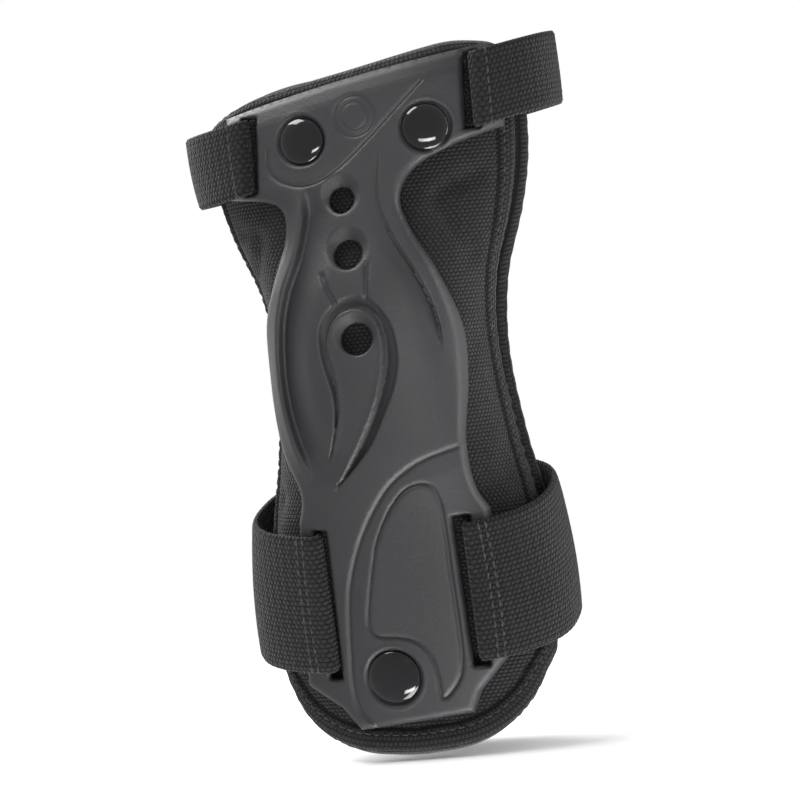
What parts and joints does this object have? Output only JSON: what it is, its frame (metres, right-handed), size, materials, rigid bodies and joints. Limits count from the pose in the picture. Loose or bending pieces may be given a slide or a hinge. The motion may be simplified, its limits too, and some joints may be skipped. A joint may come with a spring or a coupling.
{
  "type": "wrist guard",
  "caption": "Padded wrist guard for the right hand with moulded palm and back splints and two hook-and-loop webbing straps",
  "frame": {"origin": "Centre of the wearer's wrist inside the sleeve", "axes": "+Z to the fingers, +Y out of the palm side, -X to the thumb side"},
  "size_m": [0.1068, 0.0712, 0.1954],
  "materials": {
    "shell_fabric": "coarse dull black weave",
    "pad_foam": "closed-cell foam",
    "lining_fabric": "brushed dark knit",
    "edge_binding": "ribbed grosgrain",
    "gusset_fabric": "stretch knit",
    "splint_plastic": "fine-grained moulded, matte",
    "rivet_gloss": "polished black dome",
    "washer_metal": "plain",
    "webbing": "ribbed polypropylene webbing",
    "loop_tape": "brushed loop pile",
    "hook_tape": "hook field"
  },
  "bodies": {
    "sleeve": {"palm_shell_fabric": "shell_fabric", "palm_foam_pad": "pad_foam", "palm_lining": "lining_fabric", "palm_edge_binding": "edge_binding", "back_shell_fabric": "shell_fabric", "back_foam_pad": "pad_foam", "back_lining": "lining_fabric", "back_edge_binding": "edge_binding", "pinky_side_gusset": "gusset_fabric", "thumb_side_gusset": "gusset_fabric", "palm_splint": "splint_plastic", "back_splint": "splint_plastic", "palm_rivet_caps": "rivet_gloss", "palm_rivet_washers": "washer_metal", "back_rivet_caps": "rivet_gloss", "back_rivet_washers": "washer_metal", "hand_strap_anchor": "webbing", "hand_strap_tail": "webbing", "hand_loop_tape": "loop_tape", "forearm_strap_anchor": "webbing", "forearm_strap_tail": "webbing", "forearm_loop_tape": "loop_tape"},
    "hand_flap": {"hand_strap_flap": "webbing", "hand_hook_tape": "hook_tape"},
    "hand_tab": {"hand_strap_pull_tab": "webbing"},
    "forearm_flap": {"forearm_strap_flap": "webbing", "forearm_hook_tape": "hook_tape"},
    "forearm_tab": {"forearm_strap_pull_tab": "webbing"}
  },
  "joints": [
    {"name": "hand_flap_peel", "type": "hinge", "parent": "sleeve", "child": "hand_flap", "pos_m": [0.04541, -0.01905, 0.0716], "axis": [0.0792, 0.0272, 0.9965], "range_deg": [0, 150]},
    {"name": "hand_tab_lift", "type": "hinge", "parent": "hand_flap", "child": "hand_tab", "pos_m": [-0.00617, -0.03116, 0.08134], "axis": [-0.0011, 0.0612, 0.9981], "range_deg": [0, 90]},
    {"name": "forearm_flap_peel", "type": "hinge", "parent": "sleeve", "child": "forearm_flap", "pos_m": [0.03915, -0.01972, -0.04087], "axis": [-0.0953, -0.0011, 0.9955], "range_deg": [0, 150]},
    {"name": "forearm_tab_lift", "type": "hinge", "parent": "forearm_flap", "child": "forearm_tab", "pos_m": [-0.02086, -0.0307, -0.03802], "axis": [0.059, 0.0033, 0.9983], "range_deg": [0, 90]}
  ]
}
